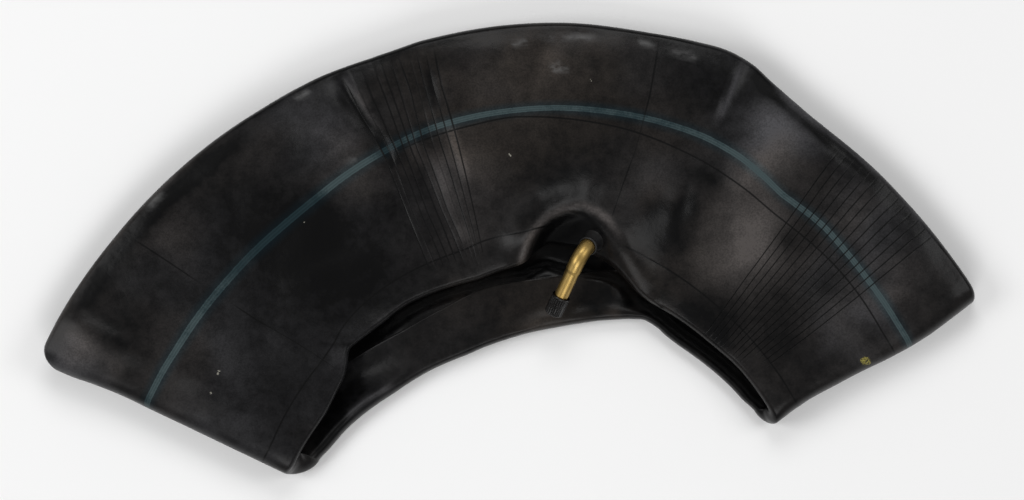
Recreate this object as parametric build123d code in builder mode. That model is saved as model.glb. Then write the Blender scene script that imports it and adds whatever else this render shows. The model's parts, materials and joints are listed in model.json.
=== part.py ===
"""Butyl inner tube with a bent brass valve, emptied of air, folded in half and laid flat.

Units are millimetres. X runs along the longest extent, from fold to fold. Y points to the outer
curve of the arc. Z is up, and the lower layer of the tube rests on z = 0. The origin is the
middle of the bounding box's underside.

The tube is one closed ring. Pressed flat and folded, it is two arc-shaped layers, one on the
other, joined by a half turn at each end. The lower layer lies nearer to the arc's centre, so it
shows beyond the upper layer's inner edge, and the valve hangs over it.
"""

import os
from math import acos, atan2, cos, degrees, radians, sin, tan

from build123d import *

# ---- tube: driving dimensions ----
flat_width = 136.0  # width of the emptied tube pressed flat
layer_thickness = 11.0  # two walls and the air left between them
wall = 1.8
layer_gap = 3.0  # slit between the two layers
fold_azimuth = 27.65  # direction of the right-hand fold, in degrees from X
fold_radius = 210.5  # arc's centre to the middle of the tube's width at a fold
upper_bulge = 8.0  # how much further out the upper layer lies at the middle of the arc
upper_shift = 30.0  # how much larger the radius of its end arcs is
lower_bulge = -28.5
lower_shift = -80.0

# ---- valve: driving dimensions ----
valve_x, valve_y = 49.3, 165.2  # middle of the foot, from the arc's centre
boss_azimuth, boss_elevation = 219.6, 54.6  # direction that the rubber boss points in
leg_azimuth, leg_elevation = 241.1, -23.4  # direction of the stem's outer leg
flange_radius, flange_thickness, flange_lip = 15.0, 1.8, 0.6
boss_radius, boss_length, boss_flare = 5.3, 8.6, 2.0
bend_radius = 8.5
elbow_radius = 4.2
air_radius = 1.3
root_length = 1.6  # part of the stem below the tube's surface

# ---- stem's outer leg: distances along it, from the end of the bend ----
taper_start, taper_end = 4.0, 6.0
shank_end, shank_radius = 20.6, 3.85
relief_end, relief_radius = 21.4, 3.5
tip, thread_radius = 28.8, 3.8  # 8V1 thread, 32 turns to the inch, as a plain cylinder
chamber_start, chamber_radius = 9.4, 1.95
seat_start, seat_end, seat_radius = 17.0, 19.4, 2.3  # cone that the core's gasket closes on
core_bore_start, core_bore_radius = 19.8, 2.66

# ---- core: distances along the same leg ----
head_start, head_end, head_radius = 21.6, 28.0, 2.58  # 5V1 thread, as a plain cylinder
flats_start, flats_width = 26.2, 3.0
head_hole = 0.95
barrel_start, barrel_floor, barrel_end = 13.0, 14.0, 21.2
barrel_radius, barrel_bore = 1.75, 1.15
waist_radius = 1.45  # under the gasket, and at the neck that the head turns on
neck_end, neck_slip = 22.8, 0.06
pin_start, pin_end, pin_radius = 10.9, 28.4, 0.4
button_length, button_radius = 0.5, 0.75
collar_start, collar_end, collar_radius = 20.2, 20.6, 1.0
cup_start, cup_floor, cup_end, cup_radius = 11.6, 11.95, 12.6, 1.6
seal_radius = 1.25
pin_hole, floor_hole = 0.42, 0.55
spring_start, spring_turns, spring_pitch = 14.2, 7.5, 0.78
spring_radius, spring_wire = 0.83, 0.12

# ---- cap: distances along the same leg ----
cap_start, cap_end, cap_radius = 20.9, 32.4, 4.75
cap_rim = 0.9  # smooth band at the open end
cap_bore, cap_roof, cap_edge = 3.92, 1.1, 0.6
rib_count, rib_height, rib_width = 24, 0.25, 0.55
washer_thickness, washer_radius, washer_hole = 0.75, 3.75, 2.9

slip = 0.03  # gap between faces of different pieces that only touch

os.makedirs("parts", exist_ok=True)

# ---- worked out: the arcs of the two layers ----
lower_z = layer_thickness / 2
upper_z = layer_thickness * 1.5 + layer_gap
fold_z = layer_thickness + layer_gap / 2
top_z = 2 * layer_thickness + layer_gap
corner = layer_thickness / 2
fold_depth = (layer_thickness + layer_gap) / 2
fold_cos, fold_sin = cos(radians(fold_azimuth)), sin(radians(fold_azimuth))

arc_top = fold_radius + upper_bulge + flat_width / 2
arc_bottom = (fold_radius - flat_width / 2 + corner) * fold_sin - fold_depth * fold_cos - corner
centre = Vector(0, -(arc_top + arc_bottom) / 2, 0)
fold_line = Vector(fold_cos, fold_sin, 0)
fold_point = centre + fold_line * fold_radius
up = Vector(0, 0, 1)


def pointing(azimuth, elevation=0):
    """Unit vector from its azimuth and elevation in degrees."""
    level = cos(radians(elevation))
    east, north = cos(radians(azimuth)), sin(radians(azimuth))
    return Vector(level * east, level * north, sin(radians(elevation)))


def across(point, azimuth):
    """Plane across a layer: its x runs out along the azimuth and its y is up."""
    return Plane(origin=point, x_dir=pointing(azimuth), z_dir=pointing(azimuth).cross(up))


def layer_spans(bulge, shift, height):
    """Section plane, turning axis and angle of a layer's two arcs, fold to middle.

    The end arc starts square to the fold, and meets the middle arc smoothly.
    """
    middle_up = bulge * (bulge - 2 * shift) / (2 * bulge - 2 * shift * (1 - fold_sin))
    middle_centre = centre + Vector(0, middle_up, 0)
    middle_radius = fold_radius + bulge - middle_up
    end_centre = centre - fold_line * shift
    ray = middle_centre - end_centre if shift > 0 else end_centre - middle_centre
    meeting = degrees(atan2(ray.Y, ray.X))
    meeting_point = middle_centre + pointing(meeting) * middle_radius
    return [
        (across(fold_point + up * height, fold_azimuth), end_centre, meeting - fold_azimuth),
        (across(meeting_point + up * height, meeting), middle_centre, 90 - meeting),
    ]


# ---- worked out: the valve's centre line ----
foot_point = centre + Vector(valve_x, valve_y, top_z)
boss_direction = pointing(boss_azimuth, boss_elevation)
leg_direction = pointing(leg_azimuth, leg_elevation)
bend_angle = degrees(acos(boss_direction.dot(leg_direction)))
bend_axis = boss_direction.cross(leg_direction).normalized()
bend_start = foot_point + boss_direction * boss_length
bend_centre = bend_start + bend_axis.cross(boss_direction) * bend_radius
bend_tangent = bend_radius * tan(radians(bend_angle / 2))
leg_start = bend_start + (boss_direction + leg_direction) * bend_tangent

boss_plane = Plane(origin=foot_point, x_dir=bend_axis, z_dir=boss_direction)
leg_plane = Plane(origin=leg_start, x_dir=bend_axis, z_dir=leg_direction)
leg_side = Plane(origin=leg_start, x_dir=leg_direction, z_dir=bend_axis)
leg_axis = Axis(leg_start, leg_direction)

# ---- tube body: a hollow ring, pressed flat and folded ----
spans = [
    (plane, Axis(turning_centre, up), angle)
    for plane, turning_centre, angle in layer_spans(upper_bulge, upper_shift, upper_z)
    + layer_spans(lower_bulge, lower_shift, lower_z)
]
half_turn = Axis(fold_point + up * fold_z, fold_line)
spans.append((across(fold_point + up * upper_z, fold_azimuth), half_turn, 180))

with BuildPart() as tube_body:
    for plane, turning_axis, angle in spans:
        with BuildSketch(plane):
            SlotOverall(flat_width, layer_thickness)
            SlotOverall(flat_width - 2 * wall, layer_thickness - 2 * wall, mode=Mode.SUBTRACT)
        revolve(axis=turning_axis, revolution_arc=angle)
    mirror(about=Plane.YZ)
    # air from the stem enters through a hole in the upper wall
    with BuildSketch(boss_plane.offset(-2 * wall - corner)):
        Circle(elbow_radius)
    extrude(amount=2 * wall + 2 * corner, mode=Mode.SUBTRACT)
tube_body.part.label = "tube_body"
export_step(tube_body.part, "parts/tube_body.step")

# ---- valve foot: rubber flange bonded to the tube, with a boss that grips the stem ----
with BuildPart() as valve_foot:
    with BuildSketch(boss_plane.offset(-boss_length)):
        Circle(boss_radius)
    extrude(amount=2 * boss_length)
    boss_end = valve_foot.faces().sort_by(Axis(foot_point, boss_direction))[-1]
    chamfer(boss_end.edges(), length=0.6)
    with BuildSketch(Plane(origin=foot_point, x_dir=(1, 0, 0), z_dir=(0, -1, 0))):
        with BuildLine():
            Polyline(
                (0, 0),
                (flange_radius, 0),
                (flange_radius, flange_lip),
                (boss_radius + boss_flare, flange_thickness),
                (0, flange_thickness),
                close=True,
            )
        make_face()
    revolve(axis=Axis(foot_point, up))
    split(bisect_by=Plane.XY.offset(top_z), keep=Keep.TOP)
    with BuildSketch(boss_plane.offset(-boss_length)):
        Circle(elbow_radius)
    extrude(amount=3 * boss_length, mode=Mode.SUBTRACT)
valve_foot.part.label = "valve_foot"
export_step(valve_foot.part, "parts/valve_foot.step")

# ---- valve stem: bent brass tube, bored out at its end for the core ----
with BuildPart() as valve_stem:
    with BuildSketch(boss_plane.offset(-root_length)):
        Circle(elbow_radius)
        Circle(air_radius, mode=Mode.SUBTRACT)
    extrude(amount=root_length + boss_length)
    with BuildSketch(boss_plane.offset(boss_length)):
        Circle(elbow_radius)
        Circle(air_radius, mode=Mode.SUBTRACT)
    revolve(axis=Axis(bend_centre, bend_axis), revolution_arc=bend_angle)
    with BuildSketch(leg_side):
        with BuildLine():
            Polyline(
                (0, air_radius),
                (0, elbow_radius),
                (taper_start, elbow_radius),
                (taper_end, shank_radius),
                (shank_end, shank_radius),
                (shank_end, relief_radius),
                (relief_end, relief_radius),
                (relief_end, thread_radius),
                (tip - 0.4, thread_radius),
                (tip, thread_radius - 0.4),
                (tip, core_bore_radius),
                (core_bore_start, core_bore_radius),
                (seat_end, seat_radius),
                (seat_start, chamber_radius),
                (chamber_start, chamber_radius),
                (chamber_start - 0.6, air_radius),
                close=True,
            )
        make_face()
    revolve(axis=leg_axis)
valve_stem.part.label = "valve_stem"
export_step(valve_stem.part, "parts/valve_stem.step")

# ---- core head: threaded swivel with flats for the core key ----
with BuildPart() as core_swivel:
    with BuildSketch(leg_side):
        with BuildLine():
            Polyline(
                (head_start, waist_radius + neck_slip),
                (head_start, head_radius - 0.3),
                (head_start + 0.3, head_radius),
                (head_end - 0.2, head_radius),
                (head_end, head_radius - 0.2),
                (head_end, head_hole),
                (neck_end + slip, head_hole),
                (neck_end + slip, waist_radius + neck_slip),
                close=True,
            )
        make_face()
    revolve(axis=leg_axis)
    side_offset = (flats_width + head_radius) / 2
    with BuildSketch(leg_plane.offset(flats_start)):
        with Locations((side_offset, 0), (-side_offset, 0)):
            Rectangle(head_radius, 3 * head_radius)
    extrude(amount=head_end, mode=Mode.SUBTRACT)
core_swivel.part.label = "core_swivel"
export_step(core_swivel.part, "parts/core_swivel.step")

# ---- core barrel: holds the spring, and carries the gasket on its waist ----
with BuildPart() as core_barrel:
    with BuildSketch(leg_side):
        with BuildLine():
            Polyline(
                (barrel_start, floor_hole),
                (barrel_start, barrel_radius - 0.4),
                (barrel_start + 0.4, barrel_radius),
                (seat_start, barrel_radius),
                (seat_start, waist_radius),
                (seat_end, waist_radius),
                (seat_end, barrel_radius),
                (barrel_end, barrel_radius),
                (barrel_end, waist_radius),
                (neck_end, waist_radius),
                (neck_end, barrel_bore),
                (barrel_floor, barrel_bore),
                (barrel_floor, floor_hole),
                close=True,
            )
        make_face()
    revolve(axis=leg_axis)
core_barrel.part.label = "core_barrel"
export_step(core_barrel.part, "parts/core_barrel.step")

# ---- core gasket: tapered ring that seals the barrel in the stem's cone ----
with BuildPart() as core_gasket:
    with BuildSketch(leg_side):
        with BuildLine():
            Polyline(
                (seat_start, waist_radius),
                (seat_start, chamber_radius - slip),
                (seat_end, seat_radius - slip),
                (seat_end, waist_radius),
                close=True,
            )
        make_face()
    revolve(axis=leg_axis)
core_gasket.part.label = "core_gasket"
export_step(core_gasket.part, "parts/core_gasket.step")

# ---- core pin: button, spring collar and riveted end on one thin rod ----
with BuildPart() as core_pin:
    with BuildSketch(leg_side):
        with BuildLine():
            Polyline(
                (pin_start, 0),
                (pin_start, button_radius),
                (cup_start - slip, button_radius),
                (cup_start - slip, pin_radius),
                (collar_start, pin_radius),
                (collar_start, collar_radius),
                (collar_end, collar_radius),
                (collar_end, pin_radius),
                (pin_end - button_length, pin_radius),
                (pin_end - button_length, button_radius),
                (pin_end, button_radius),
                (pin_end, 0),
                close=True,
            )
        make_face()
    revolve(axis=leg_axis)
core_pin.part.label = "core_pin"
export_step(core_pin.part, "parts/core_pin.step")

# ---- core cup and its seal: they close the barrel's lower end ----
with BuildPart() as core_cup:
    with BuildSketch(leg_side):
        with BuildLine():
            Polyline(
                (cup_start, pin_hole),
                (cup_start, cup_radius),
                (cup_end, cup_radius),
                (cup_end, seal_radius + slip),
                (cup_floor, seal_radius + slip),
                (cup_floor, pin_hole),
                close=True,
            )
        make_face()
    revolve(axis=leg_axis)
core_cup.part.label = "core_cup"
export_step(core_cup.part, "parts/core_cup.step")

with BuildPart() as cup_seal:
    with BuildSketch(leg_plane.offset(cup_floor + slip)):
        Circle(seal_radius)
        Circle(pin_hole, mode=Mode.SUBTRACT)
    extrude(amount=barrel_start - cup_floor - 2 * slip)
cup_seal.part.label = "cup_seal"
export_step(cup_seal.part, "parts/cup_seal.step")

# ---- core spring: pushes the pin out, which holds the cup shut ----
with BuildPart() as core_spring:
    with BuildLine():
        coil = Helix(
            spring_pitch,
            spring_turns * spring_pitch,
            spring_radius,
            center=leg_start + leg_direction * spring_start,
            direction=leg_direction,
        )
    with BuildSketch(Plane(origin=coil @ 0, z_dir=coil % 0)):
        Circle(spring_wire)
    sweep(path=coil, is_frenet=True)
core_spring.part.label = "core_spring"
export_step(core_spring.part, "parts/core_spring.step")

# ---- valve cap: ribbed, with a ledge that presses the washer on the stem's tip ----
ledge = tip + washer_thickness + 2 * slip
with BuildPart() as valve_cap:
    with BuildSketch(leg_side):
        with BuildLine():
            Polyline(
                (cap_start, cap_bore),
                (cap_start, cap_radius + rib_height),
                (cap_start + cap_rim, cap_radius + rib_height),
                (cap_start + cap_rim, cap_radius),
                (cap_end - cap_edge, cap_radius),
                (cap_end, cap_radius - cap_edge),
                (cap_end, 0),
                (cap_end - cap_roof, 0),
                (cap_end - cap_roof, washer_hole),
                (ledge, washer_hole),
                (ledge, cap_bore),
                close=True,
            )
        make_face()
    revolve(axis=leg_axis)
    with BuildSketch(leg_plane.offset(cap_start + cap_rim)):
        with PolarLocations(cap_radius, rib_count):
            Rectangle(2 * rib_height, rib_width)
    extrude(amount=cap_end - cap_edge - cap_start - cap_rim)
valve_cap.part.label = "valve_cap"
export_step(valve_cap.part, "parts/valve_cap.step")

with BuildPart() as cap_washer:
    with BuildSketch(leg_plane.offset(tip + slip)):
        Circle(washer_radius)
        Circle(washer_hole, mode=Mode.SUBTRACT)
    extrude(amount=washer_thickness)
cap_washer.part.label = "cap_washer"
export_step(cap_washer.part, "parts/cap_washer.step")

print("tube box", tube_body.part.bounding_box())
print("outer leg starts at", tuple(leg_start), "and runs along", tuple(leg_direction))
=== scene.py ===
"""Looks of the folded inner tube: a soft rubber skin over the CAD tube, the moulded boss of the
valve, a brass stem, a ribbed cap and the valve core. Shapes are worked out in millimetres, in the
CAD frame, and scaled to metres when the meshes are made.
"""

import json
import math

import bpy
import numpy as np
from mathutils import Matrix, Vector


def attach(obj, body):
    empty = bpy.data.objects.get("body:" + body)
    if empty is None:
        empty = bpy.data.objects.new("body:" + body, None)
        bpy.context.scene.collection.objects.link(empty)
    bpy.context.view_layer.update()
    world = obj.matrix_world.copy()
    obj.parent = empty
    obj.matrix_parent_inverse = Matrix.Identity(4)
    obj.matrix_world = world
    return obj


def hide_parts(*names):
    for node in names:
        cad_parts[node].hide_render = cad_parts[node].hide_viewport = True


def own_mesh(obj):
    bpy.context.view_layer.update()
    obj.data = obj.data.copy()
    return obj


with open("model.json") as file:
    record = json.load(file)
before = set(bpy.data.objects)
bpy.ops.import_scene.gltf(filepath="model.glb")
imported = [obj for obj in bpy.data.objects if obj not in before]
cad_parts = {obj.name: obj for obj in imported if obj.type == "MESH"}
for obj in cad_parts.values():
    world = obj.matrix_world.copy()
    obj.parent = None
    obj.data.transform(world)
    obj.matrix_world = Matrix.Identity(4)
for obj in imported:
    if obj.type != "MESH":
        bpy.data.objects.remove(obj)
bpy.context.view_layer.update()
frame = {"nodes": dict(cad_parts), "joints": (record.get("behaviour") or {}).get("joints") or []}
MM = 0.001

# ---- the tube's plan: angles in degrees and radii in mm about the arc's centre ----
ARC_CENTRE = np.array([0.0, -171.741])
RIGHT_FOLD, LEFT_FOLD = 27.6, 151.5
# a row is a column of the mesh: its azimuth at each of these radii. The one at 225 mm names it
COLUMN_RADII = [160, 190, 225, 255, 280]
NAMING = 2
COLUMNS = [
    [27.6] * 5,
    [31.0] * 5,
    [33.7, 33.5, 33.6, 33.8, 33.9],
    [46.6, 47.2, 47.55, 47.9, 48.0],
    [53.0] * 5,
    [71.9, 71.3, 70.5, 70.6, 71.1],
    [85.0] * 5,
    [93.6, 94.3, 95.1, 95.9, 96.1],
    [94.4, 95.3, 96.2, 96.9, 97.1],
    [95.1, 96.3, 97.4, 97.9, 98.1],
    [95.8, 97.3, 98.5, 98.7, 99.0],
    [96.6, 98.5, 99.7, 99.7, 100.2],
    [97.6, 99.4, 100.7, 100.9, 101.1],
    [98.9, 100.3, 101.5, 101.9, 102.3],
    [100.2, 101.7, 102.4, 102.8, 103.2],
    [101.5, 102.7, 103.4, 104.3, 104.6],
    [102.9, 103.9, 104.3, 105.3, 105.8],
    [104.2, 104.8, 105.2, 106.4, 106.9],
    [112.0] * 5,
    [125.0, 125.6, 126.0, 126.3, 126.6],
    [132.6, 134.7, 136.0, 136.7, 137.3],
    [142.6, 143.4, 144.0, 144.3, 144.6],
    [151.5] * 5,
]
# outlines as (azimuth, radius), most of them measured readings
UPPER_OUTER = [
    (27.6, 280.2), (33, 279.4), (38, 279.2), (43, 279.6), (49, 280.0), (52, 280.8), (55, 282.8),
    (58, 286.0), (61, 290.4), (63.5, 291.6), (67, 290.0), (73, 287.4), (80, 286.3), (88, 283.9),
    (94, 281.5), (97, 280.6), (100, 279.2), (103, 278.4), (107, 278.5), (112, 278.0), (118, 277.2),
    (127, 277.2), (136, 277.7), (142, 278.7), (148, 280.0), (151.5, 280.5),
]
UPPER_INNER = [
    (27.6, 152.6), (36.1, 152.2), (47.0, 150.6), (58.0, 150.7), (61.0, 152.4), (64.0, 156.5),
    (67.3, 161.0), (71.3, 164.5), (76.0, 167.2), (80.5, 167.0), (83.5, 162.0), (85.8, 156.4),
    (90.7, 152.5), (97.1, 149.5), (103.6, 148.3), (110.4, 147.5), (118.2, 144.8), (123.5, 144.3),
    (127.3, 144.3), (132.7, 139.4), (138.0, 133.8), (144.0, 130.0), (151.5, 131.5),
]
LINE_B = [
    (27.6, 167.0), (45.0, 168.0), (58.9, 171.0), (64.5, 172.5), (72.0, 176.0), (79.8, 176.7),
    (86.6, 172.5), (93.5, 169.6), (100.9, 165.7), (110.0, 162.5), (117.0, 160.0), (125.0, 156.0),
    (130.8, 152.0), (140.0, 149.0), (151.5, 147.5),
]
LINE_A = [
    (27.6, 226.0), (37.9, 227.3), (48.8, 226.4), (55.4, 228.9), (63.3, 231.8), (73.2, 234.2),
    (81.2, 234.5), (86.4, 234.3), (93.1, 231.2), (98.0, 229.0), (104.0, 225.8), (110.0, 220.5),
    (118.7, 215.5), (127.7, 213.5), (139.1, 210.0), (151.5, 207.0),
]
STRIPE = [
    (27.6, 235.2), (33, 235.6), (39, 236.8), (43.5, 238.0), (49.5, 237.3), (54, 239.9), (58, 242.4),
    (63, 243.6), (69, 242.8), (75, 241.4), (81, 240.0), (87, 237.9), (93, 235.6), (99, 232.9),
    (105, 228.5), (111, 224.4), (117, 220.3), (123, 218.0), (129, 216.9), (135, 216.1), (144, 215.9),
    (151.5, 217.2),
]
STRIPE_WIDTH = [
    (27.6, 3.0), (45, 3.2), (60, 3.2), (85, 2.9), (105, 3.4), (125, 3.9), (142, 3.7), (151.5, 3.2),
]
LOWER_INNER = [
    (27.6, 146.0), (31, 143.8), (34, 143.0), (41, 141.0), (46, 139.8), (49.5, 139.3), (52.5, 139.6),
    (55, 140.8), (58, 141.2), (61, 138.6), (64, 135.2), (67.7, 131.4), (73, 126.2), (79, 121.5),
    (85, 118.0), (91, 114.8), (97, 112.4), (103, 110.5), (109, 110.1), (118, 110.1), (124, 110.4),
    (130, 112.0), (136, 114.2), (142, 116.5), (147, 118.2), (151.5, 121.0),
]
LOWER_OUTER = [
    (27.6, 280.5), (34.0, 278.0), (45.0, 275.0), (60.0, 272.0), (75.0, 256.0), (92.6, 244.0),
    (108.0, 240.0), (123.5, 243.0), (133.0, 248.0), (142.0, 262.0), (151.5, 278.5),
]
LOWER_LINE = [
    (27.6, 166.0), (45.0, 165.0), (60.0, 164.0), (67.1, 160.6), (70.8, 156.9), (78.5, 150.1),
    (86.7, 146.1), (95.4, 143.2), (105.0, 138.1), (115.0, 136.0), (125.0, 138.0), (138.0, 144.0),
    (151.5, 150.0),
]
# how far the half turn at each fold reaches beyond the fold's column, by radius
LEFT_REACH = [
    (116, 11.0), (122, 13.0), (134, 14.3), (158, 14.0), (190, 13.4), (214, 13.0), (230, 12.6),
    (246, 13.2), (262, 14.6), (280, 14.8),
]
RIGHT_REACH = [
    (144, 12.4), (152, 12.0), (166, 10.8), (174, 10.5), (190, 11.4), (206, 12.5), (222, 14.2),
    (238, 15.0), (246, 14.9), (262, 13.6), (280, 11.8),
]
# the top of the hood of rubber over the valve, as (x, y)
CREST = [
    (8.8, -19.0), (10.8, -12.8), (14.0, -4.8), (19.2, 2.2), (26.6, 8.4), (35.2, 11.8), (44.2, 12.8),
    (51.5, 9.0), (57.6, 4.0), (62.5, -3.5), (66.5, -13.5), (71.0, -25.0), (77.5, -36.0),
]
# soft patches of painted sheen (paler) and painted shade (darker) on the upper layer: (x, y, radius,
# amount)
SHEEN_AND_SHADE_PATCHES = [
    (-231, -45, 10, 0.85), (-208, -37, 20, -0.20), (-92, -58, 6, 0.28), (-178, 4, 24, 0.18),
    (-158, -54, 22, 0.25), (-171, -88, 20, 0.25), (-143, -101, 18, 0.25), (-88, 61, 12, 0.95),
    (-78, 43, 16, 0.45), (-103, 74, 12, 0.25), (-22, 38, 17, 0.50), (-16, 11, 16, 0.30),
    (24, 92, 24, 0.40), (74, 93, 14, 0.18), (32, 91, 6, 0.25), (-8, 76, 18, 0.20), (85, 26, 16, 0.26),
    (150, 42, 16, 1.55), (134, 24, 12, 1.0), (128, -15, 20, 1.5), (101, 7, 9, -0.35),
    (136, 4, 14, 0.35), (188, -3, 18, 0.45), (176, -26, 14, 0.18), (184, -59, 22, 0.50),
    (202, -47, 14, 0.30), (-115, -6, 34, -0.22), (-83, -19, 24, -0.20), (-139, 22, 26, -0.16),
    (-97, 16, 18, -0.18), (107, 75, 13, -0.16), (146, 68, 8, -0.25), (203, -18, 12, 0.50),
    (204, -36, 12, 0.28), (34, 27, 18, -0.20), (86, -4, 11, -0.42), (136, -47, 14, -0.14),
    (150, -66, 16, -0.20), (60, 40, 14, -0.08), (-70, -10, 14, -0.10), (-56, 20, 9, -0.15),
    (117, 21, 9, -0.35), (102, 24, 9, -0.15), (84, 9, 9, -0.15), (100, -10, 9, -0.15),
    (151, -14, 9, -0.42), (168, -14, 9, -0.22), (-68, 53, 9, -0.22), (-51, 52, 7, -0.20),
    (-34, 51, 7, -0.15), (0, 68, 14, -0.12), (-67, 70, 7, -0.22), (115, -46, 13, -0.25),
    (98, -48, 9, -0.25), (113, -63, 9, -0.20),
]
# the same painted sheen and shade along creases and pleats: (points, width, amount)
CREASE_SHEEN_AND_SHADE = [
    ([(144, 96), (138, 84), (131, 73), (123, 59), (117, 47)], 1.4, 1.9),
    ([(129, 86), (122, 70), (113, 52)], 5.0, -0.14),
    ([(-83, 93), (-77, 79), (-69, 65), (-61, 54), (-54, 38), (-50, 27)], 4.5, -0.26),
    ([(-79, 93), (-72, 81), (-67, 71), (-61, 59)], 1.8, 0.9),
    ([(-25, 66), (-22, 53), (-18, 38), (-15, 27)], 2.6, 0.8),
    ([(-34, 50), (-30, 36), (-27, 21), (-22, 6), (-17, -8)], 2.4, 0.7),
    ([(-46, 55), (-41, 38)], 3.0, 0.25),
    ([(-35, 96), (-32, 82), (-30, 64)], 4.0, -0.22),
    ([(-44, 46), (-39, 26), (-30, 2)], 3.5, -0.22),
    ([(-240, -32), (-226, -46), (-204, -60)], 4.5, 0.60),
    ([(-102, -51), (-92, -53), (-82, -53)], 1.3, -0.22),
]
# and patches of painted sheen and shade on the lower layer
LOWER_SHEEN_AND_SHADE_PATCHES = [
    (24, -46, 6, 0.45), (15, -50, 5, 0.35), (58, -46, 4, 0.30), (72, -50, 5, 0.30),
    (46, -37, 11, -0.20), (66, -42, 9, -0.16), (82, -45, 9, -0.16), (-88, -78, 10, -0.40),
    (-96, -94, 8, -0.40), (-103, -106, 8, -0.40), (-72, -64, 8, -0.14), (-8, -54, 11, -0.14),
    (-41, -52, 13, -0.12), (-60, -67, 9, -0.10), (8, -37, 12, -0.10), (56, -40, 10, -0.12),
]
# a lip along the lower layer's top, near its left end
LOW_LIP = [(-93, -95), (-88, -90), (-80, -84), (-71, -80), (-62, -76)]
# pale streaks, each along a line
PALE_STREAKS = [
    [(12, 101), (22, 102.5)], [(27, 103.5), (47, 103), (62, 101)], [(79, 98.5), (91, 94.5)],
    [(96, 91), (104, 89), (113, 87)], [(-106, 80), (-96, 84.5)], [(-189, 26), (-178, 37)],
    [(-80, 44), (-74, 46)], [(34, 84), (38, 91)], [(31, 88), (44, 85)],
]
# specks of dust, and a dab of ochre paint made of three spots: (x, y, radius)
SPECKS = [
    (-155.9, -62.2, 1.0), (-156.6, -63.6, 0.8), (-161.1, -73.7, 0.8), (7.4, 42.5, 0.7),
    (8.1, 41.7, 0.6), (-104.7, 13.9, 0.5), (53.4, 79.4, 0.5), (54.0, 78.5, 0.4),
]
OCHRE = [(190.2, -81.4, 2.9), (188.4, -81.0, 1.6), (192.0, -82.6, 1.5)]

# ---- heights in mm ----
UPPER_TOP, UPPER_UNDERSIDE = 24.0, 14.6
LOWER_TOP, LOWER_UNDERSIDE = 10.2, 0.3
THINNEST_LAYER = 4.2
EDGE_ROUNDING = 2.8
# swellings and hollows in the upper layer's top: (points, height, width, share that fades out)
UPPER_STROKES = [
    ([(143, 95), (138, 85), (131, 73), (123, 59), (116, 45)], 0.9, 2.2, 0.3),
    ([(144, 72), (152, 64), (161, 55), (177, 40), (189, 28), (208, 12)], -0.9, 3.4, 0.25),
    ([(150, 42), (140, 34)], 2.4, 15, 0),
    ([(102, 29), (96, 10), (88, -8)], -1.8, 7, 0.4),
    ([(112, 4), (128, -17)], 2.2, 17, 0),
    ([(-84, 94), (-77, 79), (-69, 65), (-61, 54), (-53, 36)], -2.0, 4.0, 0.25),
    ([(-78, 94), (-71, 80), (-66, 70), (-60, 58)], 0.6, 2.4, 0.45),
    ([(-96, 68), (-98, 50)], 2.0, 14, 0),
    ([(-35, 96), (-30, 66)], -0.5, 5.0, 0.4),
    ([(-25, 66), (-22, 53), (-18, 38), (-15, 27)], 0.8, 2.6, 0.3),
    ([(-34, 50), (-30, 36), (-27, 21), (-22, 6), (-17, -8)], 0.8, 2.8, 0.2),
    ([(-240, -20), (-224, -36), (-173, -64), (-135, -82)], 1.8, 7, 0.2),
    ([(-115, -22), (-82, -10), (-45, -2)], 1.0, 8, 0.3),
    ([(-160, 0), (-130, -20)], -1.2, 22, 0),
    ([(10, 60), (-5, 90)], 1.0, 22, 0),
    ([(-101, -57), (-89, -58)], 1.0, 7, 0),
]
# crossing waves that make the rubber uneven: (length, heading in degrees, phase, height)
WAVES = [
    (61, 20, 0.4, 0.34), (47, 75, 1.9, 0.30), (38, 130, 3.0, 0.22), (29, 165, 5.1, 0.15),
    (73, 100, 2.2, 0.36), (23, 48, 0.9, 0.07),
]


# ---- small tools ----
def smooth_keys(keys, x):
    """Smooth curve through keys, with no overshoot, at x."""
    kx = np.array([k[0] for k in keys], float)
    ky = np.array([k[1] for k in keys], float)
    step = np.diff(kx)
    slope = np.diff(ky) / step
    tangent = np.zeros_like(ky)
    same = slope[:-1] * slope[1:] > 0
    weight_a, weight_b = 2 * step[1:] + step[:-1], step[1:] + 2 * step[:-1]
    with np.errstate(divide="ignore", invalid="ignore"):
        mean = (weight_a + weight_b) / (weight_a / slope[:-1] + weight_b / slope[1:])
    tangent[1:-1] = np.where(same, mean, 0)
    tangent[0], tangent[-1] = slope[0], slope[-1]
    x = np.clip(np.asarray(x, float), kx[0], kx[-1])
    i = np.clip(np.searchsorted(kx, x, side="right") - 1, 0, len(kx) - 2)
    t = (x - kx[i]) / step[i]
    return (
        (1 + 2 * t) * (1 - t) ** 2 * ky[i]
        + t * (1 - t) ** 2 * step[i] * tangent[i]
        + t * t * (3 - 2 * t) * ky[i + 1]
        + t * t * (t - 1) * step[i] * tangent[i + 1]
    )


def ramp(x, low, high):
    """0 below low, 1 above high, smooth between them."""
    t = np.clip((x - low) / (high - low), 0, 1)
    return t * t * (3 - 2 * t)


def polyline_distance(x, y, points):
    """Distance to a polyline, how far along it (0 to 1), and on which side (positive on the left)."""
    points = np.array(points, float)
    lengths = np.hypot(*np.diff(points, axis=0).T)
    total = lengths.sum()
    best = np.full(x.shape, 1e9)
    along = np.zeros(x.shape)
    side = np.zeros(x.shape)
    start = 0.0
    for (ax, ay), (bx, by), length in zip(points[:-1], points[1:], lengths):
        ux, uy = (bx - ax) / length, (by - ay) / length
        t = np.clip((x - ax) * ux + (y - ay) * uy, 0, length)
        dx, dy = x - ax - t * ux, y - ay - t * uy
        d = np.hypot(dx, dy)
        near = d < best
        best = np.where(near, d, best)
        along = np.where(near, (start + t) / total, along)
        side = np.where(near, np.sign(ux * (y - ay) - uy * (x - ax)), side)
        start += length
    return best, along, side


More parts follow.
